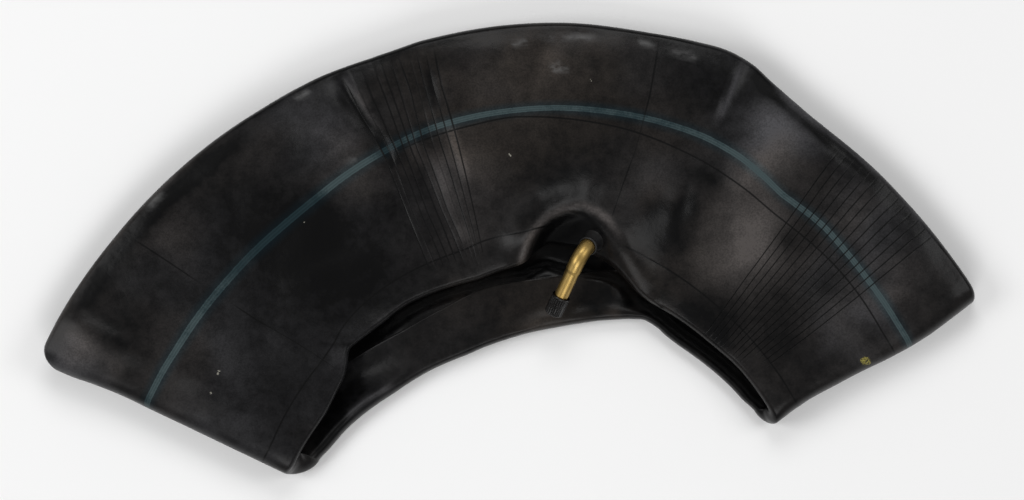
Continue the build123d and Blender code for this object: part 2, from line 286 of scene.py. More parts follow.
def stroke(x, y, points, height, width, ends=0.15):
    """A long soft swelling (or hollow) along a polyline, fading out at its ends."""
    d, along, _ = polyline_distance(x, y, points)
    fade = np.minimum(ramp(along, -0.001, ends), ramp(1 - along, -0.001, ends)) if ends else 1
    return height * np.exp(-((d / width) ** 2)) * fade


def pointing(azimuth, elevation):
    """Unit vector from its azimuth and elevation in degrees."""
    azimuth, elevation = math.radians(azimuth), math.radians(elevation)
    level = math.cos(elevation)
    return np.array([math.cos(azimuth) * level, math.sin(azimuth) * level, math.sin(elevation)])


def axes_about(direction):
    """Unit vectors along a direction and two ways square to it."""
    axis = np.array(direction) / np.linalg.norm(direction)
    side = np.cross(axis, [0, 0, 1.0])
    side /= np.linalg.norm(side)
    return axis, side, np.cross(axis, side)


def ring_faces(rings, size, closed=False):
    """Four-sided faces between rings of size points each, and back to the first if closed."""
    faces = []
    for i in range(rings if closed else rings - 1):
        here, there = i * size, (i + 1) % rings * size
        for j in range(size):
            k = (j + 1) % size
            faces.append((here + j, here + k, there + k, there + j))
    return faces


def mesh_object(name, points, faces, material, attributes=None):
    """A smooth mesh from points in mm. attributes is {name: one number per point}."""
    mesh = bpy.data.meshes.new(name)
    mesh.from_pydata((np.asarray(points) * MM).tolist(), [], faces)
    mesh.update()
    for key, values in (attributes or {}).items():
        layer = mesh.attributes.new(key, "FLOAT", "POINT")
        layer.data.foreach_set("value", np.asarray(values, np.float32))
    mesh.polygons.foreach_set("use_smooth", [True] * len(mesh.polygons))
    mesh.materials.append(material)
    obj = bpy.data.objects.new(name, mesh)
    bpy.context.collection.objects.link(obj)
    return obj


def turned(profile, origin, direction, segments, radius_at=None):
    """Points and faces of an open profile of (distance along, radius) turned about a line."""
    axis, side, other = axes_about(direction)
    angle = np.arange(segments) * 2 * math.pi / segments
    points = []
    for s, r in profile:
        radii = np.full(segments, float(r)) if radius_at is None else radius_at(s, r, angle)
        points.append(
            np.array(origin)
            + axis * s
            + (np.cos(angle) * radii)[:, None] * side
            + (np.sin(angle) * radii)[:, None] * other
        )
    return np.concatenate(points), ring_faces(len(profile), segments)


# ---- the valve's places, in mm. Its outer leg is the line that the cap slides and turns on ----
FOOT = np.array([49.3, ARC_CENTRE[1] + 165.2, 25.0])  # the middle of its rubber foot
BOSS = pointing(219.6, 54.6)  # the way that the foot's boss points
JOINTS = {joint["name"]: joint for joint in frame["joints"]}
LEG = np.array(JOINTS["cap_lift"]["axis"])
CAP_PIVOT = 26.0  # the point that the cap turns about, along the leg
LEG_START = np.array(JOINTS["cap_spin"]["pos_m"]) / MM - LEG * CAP_PIVOT


# ---- materials ----
class Nodes:
    """A material's node tree, with short calls for the nodes used here."""

    def __init__(self, name, **values):
        self.material = bpy.data.materials.new(name)
        self.material.use_nodes = True
        self.tree = self.material.node_tree
        self.shader = self.tree.nodes["Principled BSDF"]
        for key, value in values.items():
            self.shader.inputs[key.replace("_", " ")].default_value = value

    def node(self, kind, **settings):
        n = self.tree.nodes.new(kind)
        for key, value in settings.items():
            setattr(n, key, value)
        return n

    def link(self, a, b):
        self.tree.links.new(a, b)

    def attribute(self, name):
        return self.node("ShaderNodeAttribute", attribute_name=name).outputs["Fac"]

    def coords(self, scale=(1, 1, 1)):
        m = self.node("ShaderNodeMapping")
        m.inputs["Scale"].default_value = scale
        self.link(self.node("ShaderNodeTexCoord").outputs["Object"], m.inputs["Vector"])
        return m.outputs["Vector"]

    def along(self, axis):
        """The X, Y or Z of a point on the object, in metres."""
        n = self.node("ShaderNodeSeparateXYZ")
        self.link(self.coords(), n.inputs["Vector"])
        return n.outputs[axis]

    def noise(self, scale, detail=4.0, roughness=0.55, vector=None, distortion=0.0):
        n = self.node("ShaderNodeTexNoise")
        n.inputs["Scale"].default_value = scale
        n.inputs["Detail"].default_value = detail
        n.inputs["Roughness"].default_value = roughness
        n.inputs["Distortion"].default_value = distortion
        self.link(vector if vector is not None else self.coords(), n.inputs["Vector"])
        return n.outputs["Fac"]

    def math(self, operation, a, b=None, clamp=False):
        n = self.node("ShaderNodeMath", operation=operation, use_clamp=clamp)
        for socket, value in ((n.inputs[0], a), (n.inputs[1], b)):
            if value is None:
                continue
            if isinstance(value, (int, float)):
                socket.default_value = value
            else:
                self.link(value, socket)
        return n.outputs[0]

    def span(self, value, low, high, to_low=0.0, to_high=1.0):
        n = self.node("ShaderNodeMapRange", interpolation_type="SMOOTHSTEP")
        for key, v in (("From Min", low), ("From Max", high), ("To Min", to_low), ("To Max", to_high)):
            n.inputs[key].default_value = v
        self.link(value, n.inputs["Value"])
        return n.outputs["Result"]

    def mix(self, factor, a, b):
        n = self.node("ShaderNodeMix", data_type="RGBA")
        for socket, value in ((n.inputs["Factor"], factor), (n.inputs["A"], a), (n.inputs["B"], b)):
            if isinstance(value, (int, float)):
                socket.default_value = value
            elif isinstance(value, tuple):
                socket.default_value = (*value, 1)
            else:
                self.link(value, socket)
        return n.outputs["Result"]

    def bump(self, height, distance, strength=1.0, normal=None):
        n = self.node("ShaderNodeBump")
        n.inputs["Strength"].default_value = strength
        n.inputs["Distance"].default_value = distance
        self.link(height, n.inputs["Height"])
        if normal is not None:
            self.link(normal, n.inputs["Normal"])
        return n.outputs["Normal"]

    def dab(self, x, y, size, scale):
        """A small ragged spot at x, y (mm), only on top of the upper layer."""
        n = self.node("ShaderNodeVectorMath", operation="DISTANCE")
        self.link(self.coords((1, 1, 0)), n.inputs[0])
        n.inputs[1].default_value = (x * MM, y * MM, 0)
        spot = self.span(n.outputs["Value"], size * 0.5 * MM, size * MM, 1.0, 0.0)
        spot = self.math("MULTIPLY", spot, self.span(self.along("Z"), 0.018, 0.020))
        return self.math("MULTIPLY", spot, self.span(self.noise(scale, 3, 0.7), 0.45, 0.55))

    def out(self, **sockets):
        for key, value in sockets.items():
            self.link(value, self.shader.inputs[key.replace("_", " ")])
        return self.material


def tube_rubber():
    m = Nodes("tube_rubber", Specular_IOR_Level=0.15)
    broad = m.noise(22, 4, 0.55, distortion=0.5)
    cloud = m.noise(60, 5, 0.6, distortion=0.3)
    fine = m.noise(420, 4, 0.6)
    grain = m.noise(2400, 3, 0.6)
    mottle = m.math("ADD", m.math("MULTIPLY", broad, 0.6), m.math("MULTIPLY", cloud, 0.4))
    mottle = m.span(mottle, 0.36, 0.64, 0.52, 1.42)
    dusting = m.span(m.noise(150, 6, 0.65), 0.30, 0.70, -0.04, 0.04)
    speckle = m.span(m.noise(1000, 3, 0.7), 0.30, 0.70, 0.72, 1.28)
    # painted sheen and shade from the skin's attribute, mottled at random, with a fine dusting of real
    # dust added; it sets how pale the rubber is
    light_and_dust = m.math("MULTIPLY", m.attribute("painted_light"), m.math("MULTIPLY", mottle, speckle))
    light_and_dust = m.math("ADD", light_and_dust, dusting, clamp=True)
    # the middle of the tube is browner than its ends
    x = m.along("X")
    middle = m.math("MULTIPLY", m.span(x, -0.09, -0.01, 0.0, 0.4), m.span(x, 0.06, 0.13, 1.0, 0.0))
    warm = m.span(m.noise(11, 2, 0.5, vector=m.coords((1, 1.3, 1))), 0.44, 0.62, 0.0, 0.45)
    warm = m.math("ADD", warm, middle, clamp=True)
    pale = m.mix(warm, (0.067, 0.066, 0.071), (0.083, 0.066, 0.053))
    base = m.mix(light_and_dust, (0.0016, 0.0016, 0.0018), pale)
    # pale streaks
    streaky = m.span(m.noise(95, 5, 0.7, vector=m.coords((1, 2.2, 1))), 0.28, 0.64)
    pale_streak = m.math("MULTIPLY", m.attribute("pale_streak"), streaky, clamp=True)
    base = m.mix(m.math("MULTIPLY", pale_streak, 0.62), base, (0.13, 0.13, 0.13))
    # stripe of teal ink with a faint spread round it; the attribute is 1 at the stripe's edge
    distance = m.math("ABSOLUTE", m.attribute("stripe"))
    wobble = m.math("ADD", distance, m.math("MULTIPLY", m.math("SUBTRACT", fine, 0.5), 0.30))
    halo = m.span(distance, 0.9, 3.8, 0.85, 0.0)
    halo = m.math("MULTIPLY", halo, m.span(cloud, 0.25, 0.75, 0.55, 1.0))
    # the spread round the stripe takes the same painted sheen and shade as the rubber
    spread = m.mix(light_and_dust, (0.0010, 0.0056, 0.0086), (0.040, 0.062, 0.070))
    base = m.mix(halo, base, spread)
    ink = m.span(wobble, 0.86, 1.10, 1.0, 0.0)
    streaks = m.noise(30, 3, 0.6, vector=m.coords((9, 9, 9)))
    strands = m.math("COSINE", m.math("MULTIPLY", m.attribute("stripe"), 7.5))
    strands = m.math("ADD", strands, m.math("MULTIPLY", streaks, 1.6))
    ink = m.math("MULTIPLY", ink, m.span(strands, -0.6, 1.8, 0.62, 1.0))
    # the ink takes the same painted sheen and shade as the rubber
    teal = m.mix(m.span(light_and_dust, 0.0, 0.22), (0.0090, 0.0215, 0.0260), (0.044, 0.066, 0.070))
    base = m.mix(ink, base, teal)
    # painted shade: the moulded lines and ribs are darkened to thin black lines, for the shade in their
    # grooves
    line = m.attribute("line")
    base = m.mix(m.math("MULTIPLY", line, 0.94), base, (0.0010, 0.0010, 0.0011))
    for x, y, size in SPECKS:
        base = m.mix(m.dab(x, y, size, 1400), base, (0.27, 0.26, 0.22))
    for x, y, size in OCHRE:
        base = m.mix(m.dab(x, y, size, 1700), base, (0.30, 0.26, 0.06))
    rough = m.math("ADD", m.span(light_and_dust, 0.0, 0.45, 0.30, 0.42), m.math("MULTIPLY", line, 0.04))
    rough = m.math("ADD", rough, m.math("MULTIPLY", m.math("ADD", ink, pale_streak), 0.06))
    height = m.math("ADD", m.math("MULTIPLY", fine, 0.5), m.math("MULTIPLY", grain, 0.16))
    normal = m.bump(height, 0.00012, 0.35)
    normal = m.bump(m.noise(75, 4, 0.5), 0.0012, 0.35, normal)
    return m.out(Base_Color=base, Roughness=rough, Normal=normal)


def foot_rubber():
    m = Nodes("foot_rubber", Specular_IOR_Level=0.3)
    cloud = m.noise(120, 5, 0.6)
    base = m.mix(m.span(cloud, 0.35, 0.7), (0.0060, 0.0060, 0.0065), (0.014, 0.0135, 0.0135))
    rough = m.span(m.noise(300, 4, 0.6), 0.3, 0.7, 0.34, 0.46)
    normal = m.bump(m.noise(1500, 4, 0.6), 0.0001, 0.6)
    return m.out(Base_Color=base, Roughness=rough, Normal=normal)


def brass(name, light, dark, tarnish, turned_lines=0.0):
    m = Nodes(name, Metallic=1.0)
    cloud = m.noise(220, 5, 0.6)
    spots = m.noise(900, 4, 0.7)
    base = m.mix(m.span(cloud, 0.35, 0.72), light, dark)
    base = m.mix(m.math("MULTIPLY", m.span(spots, 0.60, 0.74), 0.6), base, tarnish)
    rough = m.span(cloud, 0.3, 0.7, 0.36, 0.42)
    streak = m.noise(1400, 3, 0.5, vector=m.coords((1.0, 0.45, 1.0)))
    rough = m.math("ADD", rough, m.math("MULTIPLY", streak, 0.05 + turned_lines))
    normal = m.bump(streak, 0.00003, 0.25)
    return m.out(Base_Color=base, Roughness=rough, Normal=normal)


def cap_plastic():
    m = Nodes("cap_plastic", Specular_IOR_Level=0.32, IOR=1.5)
    cloud = m.noise(700, 4, 0.6)
    base = m.mix(m.span(cloud, 0.4, 0.7), (0.0022, 0.0018, 0.0017), (0.0052, 0.0042, 0.0040))
    rough = m.span(m.noise(1200, 4, 0.6), 0.3, 0.7, 0.20, 0.30)
    normal = m.bump(m.noise(3500, 3, 0.6), 0.00004, 0.5)
    return m.out(Base_Color=base, Roughness=rough, Normal=normal)


def plain_detail(name, light, dark, rough_low, rough_high, scale, metallic=0.0):
    m = Nodes(name, Metallic=metallic)
    cloud = m.noise(scale, 5, 0.6)
    base = m.mix(m.span(cloud, 0.35, 0.7), light, dark)
    rough = m.span(m.noise(scale * 2.7, 4, 0.6), 0.3, 0.7, rough_low, rough_high)
    normal = m.bump(m.noise(scale * 5, 3, 0.6), 0.00003, 0.4)
    return m.out(Base_Color=base, Roughness=rough, Normal=normal)


TUBE_RUBBER = tube_rubber()
FOOT_RUBBER = foot_rubber()
STEM_BRASS = brass("stem_brass", (0.46, 0.315, 0.110), (0.41, 0.275, 0.088), (0.20, 0.13, 0.04))
CORE_BRASS = brass("core_brass", (0.66, 0.50, 0.22), (0.55, 0.41, 0.17), (0.30, 0.20, 0.09), 0.08)
PIN_BRASS = brass("pin_brass", (0.62, 0.50, 0.28), (0.52, 0.42, 0.22), (0.32, 0.24, 0.12), 0.05)
CAP_PLASTIC = cap_plastic()
SPRING_STEEL = plain_detail("spring_steel", (0.58, 0.58, 0.60), (0.42, 0.42, 0.43), 0.18, 0.32, 900, 1.0)
GASKET = plain_detail("gasket_plastic", (0.46, 0.05, 0.035), (0.32, 0.03, 0.02), 0.40, 0.55, 1100)
SEAL = plain_detail("seal_rubber", (0.022, 0.022, 0.022), (0.034, 0.033, 0.032), 0.55, 0.72, 900)

# ---- the tube's skin: heights ----
def hood(x, y):
    """How the upper layer's top rises in a hood over the valve, and dips inside it."""
    d, along, side = polyline_distance(x, y, CREST)
    crest = 6.4 * ramp(along, -0.12, 0.22) * ramp(1 - along, -0.10, 0.30) + 1.4
    outer = crest / (1 + (d / (8.5 + 3.5 * along)) ** 2.0)
    slope = (x - FOOT[0]) * BOSS[0] + (y - FOOT[1]) * BOSS[1]
    scoop = np.clip(FOOT[2] + 1.2 - slope / BOSS[2], 12.0, 31.5) - UPPER_TOP
    scoop += stroke(x, y, [(22, -12), (28, -2), (36, 3)], -2.6, 8.0, 0)
    into = ramp(d, 0.0, 8.0 + 7.0 * ramp(along, 0.55, 0.8))
    return np.where(side < 0, crest * (1 - into) + scoop * into, outer)


def upper_top(x, y):
    z = UPPER_TOP + hood(x, y)
    for points, height, width, ends in UPPER_STROKES:
        z += stroke(x, y, points, height, width, ends)
    return z


def lower_top(x, y, azimuth, from_edge, under):
    """Top of the lower layer. At both ends it rolls up at its inner edge and falls away behind it.

    under is how far the point lies beyond the upper layer's inner edge, where the cavity begins.
    """
    left, right = ramp(azimuth, 112, 134), ramp(-azimuth, -70, -56)
    ends = np.maximum(left, right)
    fall = ramp(from_edge, 4.5 - 3.5 * right, 20.0 - 9.0 * right)
    z = LOWER_TOP + 0.9 * np.exp(-(((from_edge - 5) / 5) ** 2)) - 1.5 * ramp(from_edge, 22, 50)
    roll = 1.3 * (1 - right) * np.exp(-(((from_edge - 4.5) / 3.5) ** 2))
    z += ends * (roll - (5.2 + 2.4 * right) * fall)
    z += stroke(x, y, LOW_LIP, 0.9, 1.6, 0.3)
    z += stroke(x, y, [(0, -62), (18, -47), (36, -47), (50, -48)], 1.0, 4.0, 0.25)
    under_hood = np.exp(-((x - 35) ** 2 + (y + 18) ** 2) / 22**2)
    z -= (1 - ends) * 7.4 * ramp(under, -8 - 10 * under_hood, 1 - 10.5 * under_hood)
    return np.maximum(z, 1.6)


def swell(x, y):
    """Slight unevenness of soft rubber, as a few crossing waves."""
    total = 0
    for length, heading, phase, height in WAVES:
        h = math.radians(heading)
        along = x * math.cos(h) + y * math.sin(h)
        total = total + height * np.sin(along * 2 * math.pi / length + phase)
    return total


# ---- the tube's skin: grid ----
RIGHT_RIBS = [33.6 + 1.073 * k for k in range(14)]
LEFT_RIBS = [c[NAMING] for c in COLUMNS if 95 < c[NAMING] < 105.5]
LEFT_RIB_HEIGHTS = [0.40, 0.22, 0.30, 0.10, 0.32, 0.20, 0.30, 0.22, 0.34, 0.14, 0.42]
PLEAT_SHARES = [0.25, 0.75, 0.55, 0.3, 0.8, 0.35, 0.5, 0.3, 0.45, 0.7]
CROSS_RIGHT, CROSS_LEFT = 70.5, 136.0
DEGREE_MM = 225 * math.pi / 180
# offsets across a moulded line, and how much of its height each has
GROOVE = [(-0.62, 0), (-0.40, 0.5), (-0.15, 0.9), (0, 1), (0.15, 0.9), (0.40, 0.5), (0.62, 0)]
RIDGE = [(0.62, 0), (0.36, 0), (0.15, 0.9), (0, 1), (-0.15, 0.9), (-0.36, 0), (-0.62, 0)]
# level directions square to each fold line, and how square the half turn is (1 is round)
LEFT_OUT, RIGHT_OUT = (-0.5197, -0.8544), (0.474, -0.880)
FOLD_SQUARENESS = 0.68


def column_list():
    """Azimuths of the upper layer's columns, closer together across each rib."""
    marks = RIGHT_RIBS + LEFT_RIBS + [CROSS_RIGHT, CROSS_LEFT]
    offsets = (-0.62, -0.42, -0.16, 0, 0.16, 0.42, 0.62)
    fine = [m + o / DEGREE_MM for m in marks for o in offsets]
    clear = 0.95 / DEGREE_MM
    plain = np.linspace(RIGHT_FOLD, LEFT_FOLD, 252)
    ends = (RIGHT_FOLD, LEFT_FOLD)
    plain = [c for c in plain if min(abs(c - m) for m in marks) > clear or c in ends]
    return np.array(sorted(plain + fine))


def azimuth_at(columns, r, share):
    """Azimuth of each mesh column at radius r, one radius per column.

    On the upper layer (share 0) the columns slant with the ribs, on the lower one only at the folds.
    """
    straight = [COLUMNS[0], [40.0] * 5, [136.0] * 5, COLUMNS[-1]]

    def table(rows):
        return np.stack(
            [smooth_keys([(c[NAMING], c[i]) for c in rows], columns) for i in range(5)]
        )

    slanted = table(COLUMNS) * (1 - share) + table(straight) * share
    r = np.broadcast_to(np.asarray(r, float), columns.shape)
    radii = np.array(COLUMN_RADII, float)
    i = np.clip(np.searchsorted(radii, r, side="right") - 1, 0, 3)
    t = np.clip((r - radii[i]) / (radii[i + 1] - radii[i]), -1.0, 1.2)
    pick = np.arange(len(columns))
    return slanted[i, pick] * (1 - t) + slanted[i + 1, pick] * t


def section_rows(r_in, r_out, line_a, line_b, line_c):
    """Rows round the section: (radius per column, level, height of a moulded line, its name).

    Level 1 is the face on top of the upper layer, and -1 the one on top of the lower layer.
    """
    rows = []

    def run(start, end, count, level):
        for i in range(count):
            t = i / count
            rows.append((start * (1 - t) + end * t, level, 0.0, ""))

    def moulded(radius, level, height, name, profile):
        for offset, part in profile:
            rows.append((radius + offset, level, height * part, name))

    def edge(radius, sign, start, end, count):
        for i in range(count):
            a = math.radians(start + (end - start) * i / count)
            inset = EDGE_ROUNDING * (1 - math.cos(a))
            rows.append((radius - sign * inset, math.sin(a), 0.0, ""))

    edge(r_in, -1, -90, 90, 12)
    run(r_in + EDGE_ROUNDING, line_b - 1.2, 6, 1.0)
    moulded(line_b, 1.0, -0.20, "B", GROOVE)
    run(line_b + 1.2, line_a - 1.2, 29, 1.0)
    moulded(line_a, 1.0, -0.20, "A", GROOVE)
    run(line_a + 1.2, r_out - EDGE_ROUNDING, 28, 1.0)
    edge(r_out, 1, 90, -90, 12)
    run(r_out - EDGE_ROUNDING, line_c + 40, 14, -1.0)
    run(line_c + 40, line_c + 1.2, 16, -1.0)
    moulded(line_c, -1.0, 0.22, "C", RIDGE)
    run(line_c - 1.2, r_in + EDGE_ROUNDING, 18, -1.0)
    return rows


class Grid:
    """The skin's grid, closed both ways: columns run round the ring, rows round the section.

    az, turn, share and the outlines hold one number per column, and the rest one per point.
    """

    def __init__(self):
        fold = np.linspace(0, 180, 21)[1:-1]
        columns = [(c, 0.0) for c in column_list()] + [(LEFT_FOLD, f) for f in fold]
        columns += [(c, 180.0) for c in np.linspace(LEFT_FOLD, RIGHT_FOLD, 150)]
        columns += [(RIGHT_FOLD, 180 - f) for f in fold]
        self.az = np.array([c[0] for c in columns])
        self.turn = np.radians([c[1] for c in columns])
        self.share = (1 - np.cos(self.turn)) / 2  # 0 on the upper layer, 1 on the lower
        self.set_outlines()
        rows = section_rows(self.r_in, self.r_out, self.line_a, self.line_b, self.line_c)
        self.radius = np.stack([row[0] for row in rows], axis=1)
        self.level = np.array([row[1] for row in rows])[None, :].repeat(len(self.az), 0)
        self.moulded = np.array([row[2] for row in rows])[None, :].repeat(len(self.az), 0)
        self.names = [row[3] for row in rows]
        angle = np.radians(
            np.stack([azimuth_at(self.az, r, self.share) for r in self.radius.T], axis=1)
        )
        self.x = self.radius * np.cos(angle) + ARC_CENTRE[0]
        self.y = self.radius * np.sin(angle) + ARC_CENTRE[1]
        self.azimuth = self.az[:, None] + 0 * self.x
        self.edge_in = np.abs(self.radius - self.r_in[:, None])
        self.edge_out = np.abs(self.r_out[:, None] - self.radius)
        self.on_top = (self.level > 0.999) & (self.share[:, None] < 0.5)

    def both(self, upper_keys, lower_keys):
        """One outline from each layer's, which change into each other round the folds."""
        upper, lower = smooth_keys(upper_keys, self.az), smooth_keys(lower_keys, self.az)
        return upper * (1 - self.share) + lower * self.share

    def carried(self, keys, scale):
        """A line of the upper layer, carried on round the folds between the skin's edges."""
        plain = smooth_keys(keys, self.az)
        moved = self.r_in + (plain - smooth_keys(UPPER_INNER, self.az)) * scale
        return plain * (1 - self.share) + moved * self.share

    def set_outlines(self):
        r_in, r_out = self.both(UPPER_INNER, LOWER_INNER), self.both(UPPER_OUTER, LOWER_OUTER)
        # the folds' corners are rounded, the left one most
        round_off = np.sin(self.turn) ** 3
        left = self.az > 90
        self.r_out = np.where(left, r_out - 8.0 * round_off, r_out - 1.5 * round_off)
        self.r_in = np.where(left, r_in + 4.0 * round_off, r_in)
        upper_width = smooth_keys(UPPER_OUTER, self.az) - smooth_keys(UPPER_INNER, self.az)
        scale = (self.r_out - self.r_in) / upper_width
        self.line_a = self.carried(LINE_A, scale)
        self.line_b = self.carried(LINE_B, scale)
        self.stripe = self.carried(STRIPE, scale)
        self.line_c = self.r_in + (
            smooth_keys(LOWER_LINE, self.az) - smooth_keys(LOWER_INNER, self.az)
        )


def ribs(g, marks, inner, outers, heights, fade=5, half=0.42):
    """How deep fine ribs are, at the azimuths in marks, from inner to each one's outer radius."""
    total = np.zeros_like(g.x)
    low = inner[:, None]
    for mark, outer, height in zip(marks, outers, heights):
        off = np.abs(g.azimuth - mark) * DEGREE_MM
        shape = np.clip(1.35 * (1 - off / half), 0, 1)
        reach = ramp(g.radius, low, low + 3) * ramp(-g.radius, -outer - 4, -outer + fade)
        total = np.maximum(total, shape * reach * height)
    return total


def pleats(g):
    """Between the left ribs the rubber is drawn into small pleats."""
    between = np.zeros_like(g.x)
    for low, high, part in zip(LEFT_RIBS, LEFT_RIBS[1:], PLEAT_SHARES):
        t = np.clip((g.azimuth - low) / (high - low), 0, 1)
        inside = (g.azimuth > low) & (g.azimuth < high)
        between += np.where(inside, 0.38 * part * np.sin(math.pi * t), 0)
    return between * ramp(g.radius, 150, 172) * ramp(-g.radius, -280, -262)


def mould_marks(g):
    """What the mould left: how far each point is lifted, and how much painted shade darkens it along the
    moulded lines and ribs, 0 to 1.
    """
    seen = {
        "A": (1 - g.share) * ramp(g.az, 22, 30) * ramp(-g.az, -108, -96),
        "B": (1 - g.share) * (1 - ramp(g.az, 65, 68) * ramp(-g.az, -82, -78)),
        "C": g.share * ramp(-g.az, -132, -122),
    }
    lift = g.moulded.copy()
    for j, name in enumerate(g.names):
        if name:
            lift[:, j] *= seen[name]
    # painted shade along the grooves of lines A and B
    line = np.clip(-lift / 0.14, 0, 1)
    # the long lines on the upper layer are shallow grooves, the lower layer's is a thin ridge
    lift = np.where(lift < 0, 0.15 * lift, lift)

    right_ends = [281 - 1.1 * max(0, k - 6) for k in range(len(RIGHT_RIBS))]
    fins = ribs(g, RIGHT_RIBS, g.r_in + 3, right_ends, [0.36] * len(RIGHT_RIBS))
    strip = ramp(g.radius, (g.line_b - 3)[:, None], g.line_b[:, None])
    fins *= 1 - (1 - strip) * ramp(-g.azimuth, -38.5, -36.0)
    left_ends = [276] * len(LEFT_RIBS)
    soft = ribs(g, LEFT_RIBS, g.r_in + 12, left_ends, LEFT_RIB_HEIGHTS, 14, 0.60)
    # two lines run right across the tube, each with a fainter stretch
    cross_right = ribs(g, [CROSS_RIGHT], 186.0 + 0 * g.az, [286], [0.28], half=0.55)
    cross_right *= 1 - 0.6 * ramp(g.radius, 212, 222) * ramp(-g.radius, -252, -242)
    cross_left = ribs(g, [CROSS_LEFT], g.r_in + 7, [274], [0.26], half=0.55)
    cross_left *= 1 - 0.9 * ramp(g.radius, 198, 208) * ramp(-g.radius, -236, -226)
    soft = np.maximum(soft, np.maximum(cross_right, cross_left))
    # painted shade along the ribs and cross lines on the upper layer's top
    dark = np.clip(np.maximum(fins / 0.26, soft / 0.22), 0, 1)
    line = np.maximum(line, np.where(g.on_top, dark, 0))
    fins *= 1 - 0.85 * ramp(g.radius, 262, 270)
    # the ribs are cut in as fine grooves, the left fan's and the cross lines' much shallower
    fins = np.where(g.on_top, np.maximum(fins, 0.065 * soft), 0)
    lift = np.where(fins > 0.02, np.minimum(lift, -fins), lift)
    lift = lift + np.where(g.on_top, pleats(g) * (1 - g.share[:, None]), 0)
    return lift, line


def folded(g, lift):
    """Where the points lie: two layers, flat until near each fold, then joined by a tight turn."""
    top_u = upper_top(g.x, g.y) + swell(g.x, g.y)
    top_u -= 1.9 * np.exp(-((g.edge_out / 8) ** 2)) + 1.5 * np.exp(-((g.edge_in / 8) ** 2))
    low_u = np.minimum(UPPER_UNDERSIDE + 0.25 * (top_u - UPPER_TOP), top_u - THINNEST_LAYER)
    under = g.radius - smooth_keys(UPPER_INNER, g.azimuth)
    top_l = lower_top(g.x, g.y, g.azimuth, g.edge_in, under)
    low_l = np.full_like(g.x, LOWER_UNDERSIDE)
    mid_u, half_u = (top_u + low_u) / 2, (top_u - low_u) / 2
    mid_l, half_l = (top_l + low_l) / 2, (top_l - low_l) / 2
    s = g.share[:, None]
    half = half_u * (1 - s) + half_l * s
    middle, arm = (mid_u + mid_l) / 2, (mid_u - mid_l) / 2
    cos_t, sin_t = np.cos(g.turn), np.sin(g.turn)
    cos_t = (np.sign(cos_t) * np.abs(cos_t) ** FOLD_SQUARENESS)[:, None]
    sin_t = (np.abs(sin_t) ** FOLD_SQUARENESS)[:, None]
    reach = arm + (half * g.level + np.sign(g.level) * lift)
    left = (g.az > 90)[:, None]
    wanted = np.where(
        left, smooth_keys(LEFT_REACH, g.radius), smooth_keys(RIGHT_REACH, g.radius)
    )
    outward = sin_t * reach * wanted / (arm + half)
    x = g.x + outward * np.where(left, LEFT_OUT[0], RIGHT_OUT[0])
    y = g.y + outward * np.where(left, LEFT_OUT[1], RIGHT_OUT[1])
    return np.stack([x, y, middle + cos_t * reach], axis=2).reshape(-1, 3)


def add_patches(painted_light, g, patches):
    """Adds soft round patches of painted sheen and shade to a map, in place."""
    for x, y, size, amount in patches:
        painted_light += amount * np.exp(-((g.x - x) ** 2 + (g.y - y) ** 2) / size**2)


def band(distance, place, width):
    """1 at a distance of place, falling away on both sides of it."""
    return np.exp(-(((distance - place) / width) ** 2))


def upper_painted_light(g):
    """Painted sheen and shade on the upper layer: how pale its rubber is painted at each point."""
    painted_light = 0.24 + np.zeros_like(g.x)
    add_patches(painted_light, g, SHEEN_AND_SHADE_PATCHES)
    for line_points, size, amount in CREASE_SHEEN_AND_SHADE:
        painted_light += stroke(g.x, g.y, line_points, amount, size, 0.25)
    # painted highlight along the hood's crest, and painted shade in the pit inside it
    d, along, side = polyline_distance(g.x, g.y, CREST)
    painted_light += 1.6 * band(d, 0.3, 1.7) * ramp(1 - along, 0.22, 0.5) - 0.05 * band(d, 0, 14)
    pit = 0.26 * ramp(d, 1.5, 6.0) * ramp(-d, -30, -24) * (1 - 0.7 * ramp(along, 0.55, 0.75))
    painted_light -= np.where(side < 0, pit, 0)
    # painted light on the outer rim: shade along the top, and at both sides a highlight with a band of
    # painted shade behind it
    a, rim = g.azimuth, g.edge_out
    painted_light -= 0.28 * band(rim, 0, 4.2) * ramp(a, 64, 69) * ramp(-a, -124, -116)
    painted_light += 0.9 * band(rim, 1.0, 1.6) * (ramp(a, 31, 36) * ramp(-a, -59, -55))
    painted_light -= 0.60 * band(rim, 5.4, 2.8) * (ramp(a, 34, 41) * ramp(-a, -62, -58))
    painted_light += 0.8 * band(rim, 1.4, 0.9) * ramp(a, 122, 130)
    painted_light -= 0.42 * band(rim, 8, 4.5) * ramp(a, 116, 126) * ramp(-a, -149, -143)
    return painted_light


def lower_painted_light(g):
    """The same on the lower layer, with painted shade beyond its moulded line, in the cavity towards and
    under the upper layer.
    """
    darker = 0.25 - 0.14 * ramp(g.azimuth, 87, 94) * ramp(-g.azimuth, -117, -109)
    beyond = ramp(g.radius, (g.line_c - 1)[:, None], (g.line_c + 1)[:, None])
    painted_light = 0.26 - darker * beyond
    add_patches(painted_light, g, LOWER_SHEEN_AND_SHADE_PATCHES)
    # painted highlight along the crest of the lip
    painted_light += stroke(g.x, g.y, LOW_LIP, 0.9, 1.2, 0.25)
    # painted shade: the strip beside the right fold, in the cavity there, is nearly black
    return np.clip(painted_light, 0, None) * (1 - 0.9 * ramp(-g.azimuth, -66, -58))


